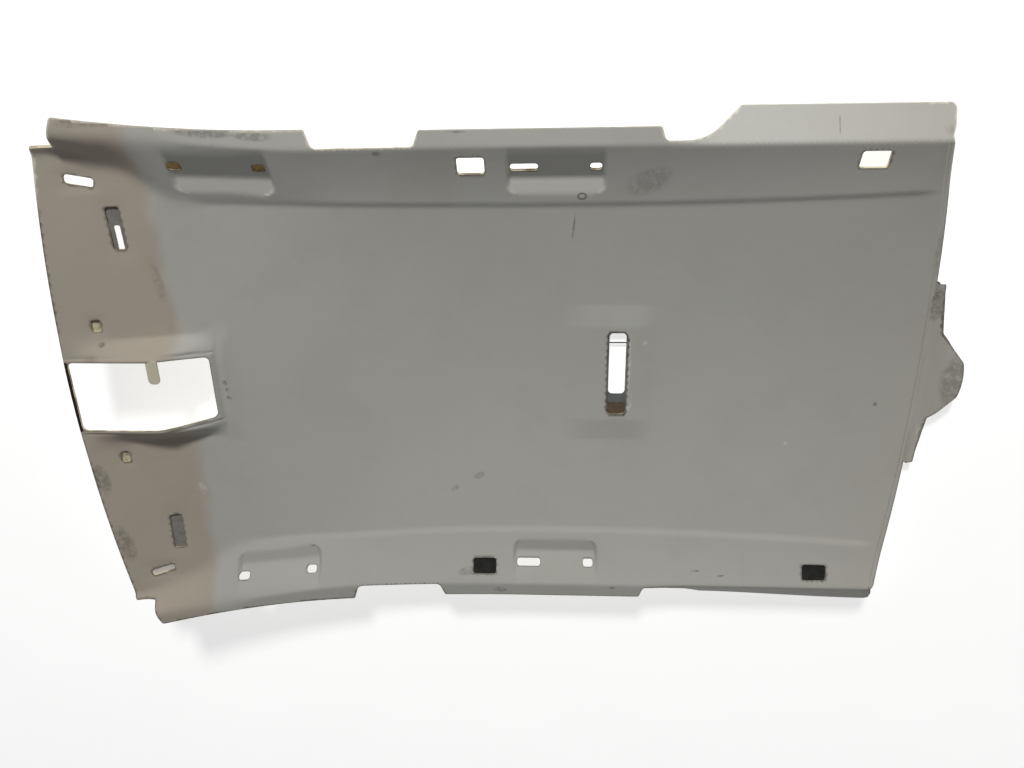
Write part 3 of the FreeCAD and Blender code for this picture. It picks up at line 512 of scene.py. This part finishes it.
def build_sheet(cloth, core, backing):
    """The moulded sheet: cloth on the cabin side, bare edges, backing below."""
    outline = rounded_loop(mirrored(OUTLINE), 8)
    loops = opening_loops()
    holes = list(loops.values())
    through = [loop for name, loop in loops.items() if not name.startswith("clip")]
    plan, tris = plan_mesh(outline, holes, 1.0)
    top, ups = lifted(plan, 0.0)
    order = wound(plan, tris, 1)
    piece = new_mesh("headliner_cloth", top, order, cloth)
    mesh = piece.data
    mesh.polygons.foreach_set("use_smooth", np.ones(len(order), bool))
    mesh.normals_split_custom_set_from_vertices(ups.tolist())
    # The edge weight carries painted light and shade along the outline: a cream highlight on the +Y side
    # and dark shade on the -Y side.
    near_edge = ~far_from(plan, outline, 0.3)
    # Painted shadow gap: a weight near each opening, full at the lamp, that the cloth uses to darken a
    # thin ring round it.
    hole_shadow_ring = np.zeros(len(plan))
    for name, loop in loops.items():
        hole_shadow_ring[~far_from(plan, loop, 0.3)] = 1.0 if name == "lamp" else 0.7
    for name, values in (("edge", near_edge.astype(float)), ("hole", hole_shadow_ring)):
        layer = mesh.attributes.new(name, "FLOAT", "POINT")
        layer.data.foreach_set("value", values)
    low_plan, low_tris = plan_mesh(outline, through, 1.7)
    under, _ = lifted(low_plan, SHEET)
    order = wound(low_plan, low_tris, -1)
    back = new_mesh("headliner_back", under, order, backing)
    back.data.polygons.foreach_set("use_smooth", np.ones(len(order), bool))
    verts = []
    faces = []
    first = 0
    for name, loop in [("outline", outline)] + list(loops.items()):
        outward = (signed_area(loop) > 0) == (name == "outline")
        depth = POCKET if name.startswith("clip") else SHEET
        rim, quads = rim_walls(loop, outward, first, depth)
        verts.append(rim)
        faces += quads
        first += len(rim)
        if name.startswith("clip"):
            faces.append(list(range(first - len(loop), first)))
    edge = new_mesh("headliner_edge", np.concatenate(verts), faces, core)
    return piece, back, edge


# Materials

class Nodes:
    """Short way to lay out one procedural material."""

    def __init__(self, name):
        self.material = bpy.data.materials.new(name)
        self.material.use_nodes = True
        self.tree = self.material.node_tree
        self.shader = self.tree.nodes["Principled BSDF"]
        self.place = self.node("ShaderNodeTexCoord").outputs["Object"]

    def node(self, kind, **values):
        made = self.tree.nodes.new(kind)
        for key, value in values.items():
            setattr(made, key, value)
        return made

    def link(self, source, target):
        self.tree.links.new(source, target)

    def feed(self, socket, value):
        if isinstance(value, bpy.types.NodeSocket):
            self.link(value, socket)
        else:
            socket.default_value = value

    def math(self, operation, a, b=0.0, clamp=False):
        made = self.node("ShaderNodeMath", operation=operation, use_clamp=clamp)
        self.feed(made.inputs[0], a)
        self.feed(made.inputs[1], b)
        return made.outputs[0]

    def noise(self, scale, detail=3.0, rough=0.5, place=None):
        made = self.node("ShaderNodeTexNoise")
        made.inputs["Scale"].default_value = scale
        made.inputs["Detail"].default_value = detail
        made.inputs["Roughness"].default_value = rough
        self.link(place or self.place, made.inputs["Vector"])
        return made.outputs["Fac"]

    def mix(self, factor, a, b, blend="MIX"):
        made = self.node("ShaderNodeMix", data_type="RGBA", blend_type=blend)
        self.feed(made.inputs["Factor"], factor)
        self.feed(made.inputs["A"], a)
        self.feed(made.inputs["B"], b)
        return made.outputs["Result"]

    def ramp(self, value, low, high):
        made = self.node("ShaderNodeMapRange")
        made.interpolation_type = "SMOOTHSTEP"
        self.feed(made.inputs["Value"], value)
        made.inputs["From Min"].default_value = low
        made.inputs["From Max"].default_value = high
        return made.outputs["Result"]

    def layer(self, name):
        return self.node("ShaderNodeAttribute", attribute_name=name).outputs["Fac"]

    def spot(self, x, y, size_x, size_y, turn=0.0):
        """Soft-edged ellipse over the plan, 1 in its middle, sizes in metres."""
        mapping = self.node("ShaderNodeMapping", vector_type="TEXTURE")
        mapping.inputs["Location"].default_value = (x, y, 0)
        mapping.inputs["Rotation"].default_value = (0, 0, turn)
        mapping.inputs["Scale"].default_value = (size_x, size_y, 1e3)
        self.link(self.place, mapping.inputs["Vector"])
        length = self.node("ShaderNodeVectorMath", operation="LENGTH")
        self.link(mapping.outputs[0], length.inputs[0])
        return self.ramp(length.outputs["Value"], 1.0, 0.55)


# Stains, scratches and specks: place, half sizes in metres, turn in degrees, strength
DARK_MARKS = [
    (0.283, 0.459, 0.060, 0.034, 20, 0.28), (0.126, 0.357, 0.0028, 0.037, -6, 0.55),
    (-0.168, -0.303, 0.014, 0.009, 30, 0.40), (-0.104, -0.270, 0.020, 0.010, 20, 0.30),
    (-0.697, 0.005, 0.006, 0.009, 10, 0.60), (-0.694, -0.013, 0.005, 0.007, 0, 0.55),
    (-0.693, -0.034, 0.006, 0.008, 20, 0.60), (0.850, -0.075, 0.006, 0.006, 0, 0.60),
    (-0.938, 0.121, 0.009, 0.007, 0, 0.55), (-0.800, 0.257, 0.014, 0.060, 5, 0.22),
    (-1.002, -0.216, 0.020, 0.050, 8, 0.45), (-0.980, -0.395, 0.022, 0.060, 12, 0.45),
    (-0.628, 0.578, 0.075, 0.016, -5, 0.50), (-0.532, 0.566, 0.045, 0.012, -5, 0.45),
    (-0.284, 0.526, 0.012, 0.006, 0, 0.50), (-0.119, 0.567, 0.026, 0.003, 0, 0.60),
    (0.659, 0.567, 0.0018, 0.022, -10, 0.60), (0.441, -0.501, 0.014, 0.0028, 5, 0.60),
    (0.503, -0.511, 0.012, 0.0026, 5, 0.60), (-0.131, -0.507, 0.036, 0.012, 10, 0.40),
    (-0.054, -0.555, 0.022, 0.010, 0, 0.45), (0.232, -0.544, 0.009, 0.005, 0, 0.60),
    (1.003, -0.010, 0.030, 0.080, 0, 0.40), (0.948, 0.175, 0.018, 0.050, 0, 0.45),
    (-0.850, 0.600, 0.080, 0.012, 0, 0.40), (-0.400, 0.556, 0.016, 0.012, 0, 0.45),
    (0.930, 0.330, 0.020, 0.110, -4, 0.25), (-0.960, 0.060, 0.030, 0.050, 0, 0.30)]
LIGHT_MARKS = [
    (0.298, 0.079, 0.006, 0.006, 0, 0.70), (0.649, -0.178, 0.006, 0.006, 0, 0.60),
    (-0.787, -0.268, 0.010, 0.022, 10, 0.45), (0.965, -0.160, 0.012, 0.045, 12, 0.40),
    (0.2625, 0.020, 0.0045, 0.085, 0, 0.75), (0.262, -0.085, 0.010, 0.022, -25, 0.60)]


def total_marks(n, marks, break_up):
    """Sum of soft spots, broken up by noise."""
    total = 0.0
    for x, y, size_x, size_y, turn, strength in marks:
        spot = n.math("MULTIPLY", n.spot(x, y, size_x, size_y, math.radians(turn)), strength)
        total = n.math("ADD", spot, total)
    return n.math("MULTIPLY", total, break_up, clamp=True)


def cloth_material():
    n = Nodes("headliner_cloth")
    wave = n.noise(1.6, 2.0)
    base = n.mix(n.ramp(wave, 0.35, 0.65), (0.535, 0.535, 0.50, 1), (0.575, 0.57, 0.535, 1))
    speck = n.noise(900, 4.0, 0.65)
    base = n.mix(n.ramp(speck, 0.3, 0.75), base, (0.61, 0.60, 0.56, 1))
    parts = n.node("ShaderNodeSeparateXYZ")
    n.link(n.place, parts.inputs[0])
    drift = n.math("MULTIPLY", n.math("SUBTRACT", n.noise(9, 3.0), 0.5), 0.05)
    along = n.math("ADD", parts.outputs["X"], drift)
    # Painted warm light: the front zone over the visors gets a warm, somewhat darker tint that stands in
    # for warm reflected light.
    front_warm_light = n.ramp(along, -0.765, -0.800)
    base = n.mix(front_warm_light, base, (0.93, 0.84, 0.745, 1), "MULTIPLY")
    # Painted warm light on the rear zone too: a weaker, slightly darker warm tint.
    rear = n.math("MULTIPLY", n.ramp(along, 0.50, 0.95), 0.6)
    base = n.mix(rear, base, (0.93, 0.90, 0.86, 1), "MULTIPLY")
    cloud = n.math("MULTIPLY", n.ramp(n.noise(5.5, 5.0, 0.6), 0.45, 0.75), 0.30)
    base = n.mix(cloud, base, (0.86, 0.84, 0.80, 1), "MULTIPLY")
    # Noise that breaks up the stains and also the painted shade and highlight round the openings and
    # along the edges.
    grime_and_shade_breakup = n.ramp(n.noise(70, 5.0, 0.7), 0.30, 0.60)
    base = n.mix(total_marks(n, DARK_MARKS, grime_and_shade_breakup), base, (0.13, 0.105, 0.08, 1))
    outer = n.spot(0.1425, 0.428, 0.013, 0.010)
    inner = n.spot(0.1425, 0.428, 0.009, 0.006)
    loop = n.math("SUBTRACT", outer, inner)
    base = n.mix(n.math("MULTIPLY", loop, 0.8, clamp=True), base, (0.04, 0.04, 0.04, 1))
    base = n.mix(total_marks(n, LIGHT_MARKS, grime_and_shade_breakup), base, (0.85, 0.82, 0.76, 1))
    # Painted shadow gap: the cloth is darkened in a thin ring round the openings, broken up by noise.
    hole = n.ramp(n.layer("hole"), 0.10, 0.85)
    base = n.mix(n.math("MULTIPLY", hole, n.math("MAXIMUM", grime_and_shade_breakup, 0.75)), base, (0.10, 0.085, 0.07, 1))
    # Painted light and shade at the cut edge: a cream highlight along the +Y edge, which faces the key
    # light, and dark shade along the -Y edge, broken up by noise.
    edge = n.ramp(n.layer("edge"), 0.25, 0.85)
    lit_upper_side = n.ramp(parts.outputs["Y"], 0.40, 0.48)
    edge_light_and_shade = n.mix(lit_upper_side, (0.20, 0.17, 0.13, 1), (0.95, 0.90, 0.76, 1))
    base = n.mix(n.math("MULTIPLY", edge, n.math("MAXIMUM", grime_and_shade_breakup, 0.6)), base, edge_light_and_shade)
    # Painted shadow: the narrow strip in front of the console opening is coloured near black.
    console_strip_shadow = n.math("MULTIPLY", n.ramp(parts.outputs["X"], -1.0145, -1.0165),
                   n.ramp(n.math("ABSOLUTE", parts.outputs["Y"]), 0.088, 0.084))
    base = n.mix(console_strip_shadow, base, (0.02, 0.015, 0.012, 1))
    n.link(base, n.shader.inputs["Base Color"])
    n.shader.inputs["Roughness"].default_value = 0.95
    n.shader.inputs["Specular IOR Level"].default_value = 0.15
    n.shader.inputs["Sheen Weight"].default_value = 0.12
    n.shader.inputs["Sheen Roughness"].default_value = 0.6
    rough = n.node("ShaderNodeBump")
    rough.inputs["Strength"].default_value = 0.35
    rough.inputs["Distance"].default_value = 0.002
    n.link(n.noise(28, 4.0, 0.6), rough.inputs["Height"])
    bump = n.node("ShaderNodeBump")
    bump.inputs["Strength"].default_value = 0.3
    bump.inputs["Distance"].default_value = 0.0006
    n.link(speck, bump.inputs["Height"])
    n.link(rough.outputs[0], bump.inputs["Normal"])
    n.link(bump.outputs[0], n.shader.inputs["Normal"])
    return n.material


def edge_material():
    """Bare cut edge: cream foam, dirty in places and brown along the rear."""
    n = Nodes("foam_core")
    value = n.noise(420, 4.0, 0.6)
    base = n.mix(n.ramp(value, 0.3, 0.7), (0.70, 0.62, 0.42, 1), (0.82, 0.76, 0.58, 1))
    dirt = n.ramp(n.noise(22, 4.0, 0.6), 0.42, 0.58)
    base = n.mix(n.math("MULTIPLY", dirt, 0.75), base, (0.16, 0.12, 0.085, 1))
    parts = n.node("ShaderNodeSeparateXYZ")
    n.link(n.place, parts.inputs[0])
    base = n.mix(n.ramp(parts.outputs["X"], 0.86, 0.90), base, (0.17, 0.14, 0.11, 1))
    n.link(base, n.shader.inputs["Base Color"])
    n.shader.inputs["Roughness"].default_value = 0.95
    bump = n.node("ShaderNodeBump")
    bump.inputs["Strength"].default_value = 0.5
    bump.inputs["Distance"].default_value = 0.001
    n.link(value, bump.inputs["Height"])
    n.link(bump.outputs[0], n.shader.inputs["Normal"])
    return n.material


def plain_material(name, colour, second, scale, rough, bump_size):
    n = Nodes(name)
    value = n.noise(scale, 4.0, 0.6)
    n.link(n.mix(n.ramp(value, 0.3, 0.7), colour, second), n.shader.inputs["Base Color"])
    n.shader.inputs["Roughness"].default_value = rough
    bump = n.node("ShaderNodeBump")
    bump.inputs["Strength"].default_value = 0.4
    bump.inputs["Distance"].default_value = bump_size
    n.link(value, bump.inputs["Height"])
    n.link(bump.outputs[0], n.shader.inputs["Normal"])
    return n.material


# Camera, light and floor

def make_camera():
    data = bpy.data.cameras.new("camera")
    data.sensor_width = 36.0
    data.lens = 36.0 * 780 / 1024
    data.clip_end = 50
    camera = bpy.data.objects.new("camera", data)
    bpy.context.scene.collection.objects.link(camera)
    ahead = Vector((-0.0558, -0.3721, -0.9265)).normalized()
    up = Vector((-0.00325, 0.92803, -0.37248))
    right = ahead.cross(up).normalized()
    up = right.cross(ahead)
    turn = Matrix((right, up, -ahead)).transposed().to_4x4()
    camera.matrix_world = Matrix.Translation((0.0872, 0.6794, 1.7721)) @ turn
    bpy.context.scene.camera = camera


def area_light(name, place, target, size, power, colour):
    data = bpy.data.lights.new(name, "AREA")
    data.shape = "DISK"
    data.size = size
    data.energy = power
    data.color = colour
    lamp = bpy.data.objects.new(name, data)
    bpy.context.scene.collection.objects.link(lamp)
    lamp.location = place
    lamp.rotation_euler = (Vector(target) - Vector(place)).to_track_quat("-Z", "Y").to_euler()


def make_light():
    area_light("key", (-0.4, 5.6, 4.6), (0, 0, 0), 1.2, 270, (1.0, 0.99, 0.97))
    area_light("side", (4.2, -0.6, 2.0), (0.3, 0, 0), 1.6, 6, (1.0, 0.93, 0.84))
    world = bpy.data.worlds.new("studio")
    world.use_nodes = True
    sky = world.node_tree.nodes["Background"]
    sky.inputs["Color"].default_value = (0.96, 0.98, 1.0, 1)
    sky.inputs["Strength"].default_value = 0.13
    bpy.context.scene.world = world
    bpy.context.scene.view_settings.view_transform = "Standard"


def make_floor():
    mesh = bpy.data.meshes.new("floor")
    size = 12
    corners = [(-size, -size, 0), (size, -size, 0), (size, size, 0), (-size, size, 0)]
    mesh.from_pydata(corners, [], [(0, 1, 2, 3)])
    floor = bpy.data.objects.new("floor", mesh)
    bpy.context.scene.collection.objects.link(floor)
    pale = plain_material(
        "floor", (0.86, 0.86, 0.86, 1), (0.88, 0.88, 0.88, 1), 3.0, 0.9, 0.0002)
    shader = pale.node_tree.nodes["Principled BSDF"]
    shader.inputs["Emission Color"].default_value = (1, 1, 1, 1)
    shader.inputs["Emission Strength"].default_value = 0.62
    mesh.materials.append(pale)


make_camera()
make_light()
make_floor()
cloth = cloth_material()
core = edge_material()
backing = plain_material(
    "sheet_backing", (0.50, 0.48, 0.42, 1), (0.58, 0.55, 0.48, 1), 300, 0.9, 0.0005)
pieces = build_sheet(cloth, core, backing)
for piece in pieces:
    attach(piece, "root")
for piece in pieces:
    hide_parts("headliner_panel")

loops = opening_loops()
crumbs = plain_material(
    "grip_foam", (0.62, 0.42, 0.14, 1), (0.86, 0.68, 0.34, 1), 330, 1.0, 0.002)
# Painted shade: near-black sheets set inside the two -Y side holes, where there is only shade under the
# panel.
hole_shadow_sheet = plain_material(
    "side_hole_shadow_sheet", (0.018, 0.018, 0.017, 1), (0.035, 0.034, 0.032, 1), 45, 1.0, 0.0005)
for name, key, depth, rough, material, slot_name in (
        ("grip_foam_front", "grip_al", 4.5, 1.6, crumbs, "foam_core"),
        ("grip_foam_rear", "grip_bl", 4.5, 1.6, crumbs, "foam_core"),
        ("side_hole_shadow_front", "side_frontr", 6.0, 0.15, hole_shadow_sheet, "visor_plate"),
        ("side_hole_shadow_rear", "side_rearr", 6.0, 0.15, hole_shadow_sheet, "visor_plate")):
    fill = hole_fill(name, loops[key], depth, rough, material)
    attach(fill, "root")

NODE_LOOKS = {
    "dome_lamp_bracket": ("grey_plastic", (0.17, 0.18, 0.18, 1), (0.20, 0.21, 0.21, 1), 60, 0.5, 0.0002),
    "lamp_foam_pad": ("brown_foam", (0.12, 0.08, 0.05, 1), (0.20, 0.14, 0.09, 1), 260, 1.0, 0.001),
    "visor_plate_left": ("dark_plate", (0.24, 0.23, 0.21, 1), (0.32, 0.31, 0.28, 1), 80, 0.6, 0.0002),
    "visor_slot_insert": (
        "beige_plastic", (0.80, 0.78, 0.72, 1), (0.86, 0.84, 0.78, 1), 60, 0.55, 0.0002),
    "console_tab": ("tab_foam", (0.74, 0.69, 0.52, 1), (0.80, 0.76, 0.60, 1), 420, 0.95, 0.0008),
}
looks = {name: plain_material(*values) for name, values in NODE_LOOKS.items()}
looks["visor_plate_right"] = looks["visor_plate_left"]
for name, material in looks.items():
    for slot in bpy.data.objects[name].material_slots:
        slot.material = material
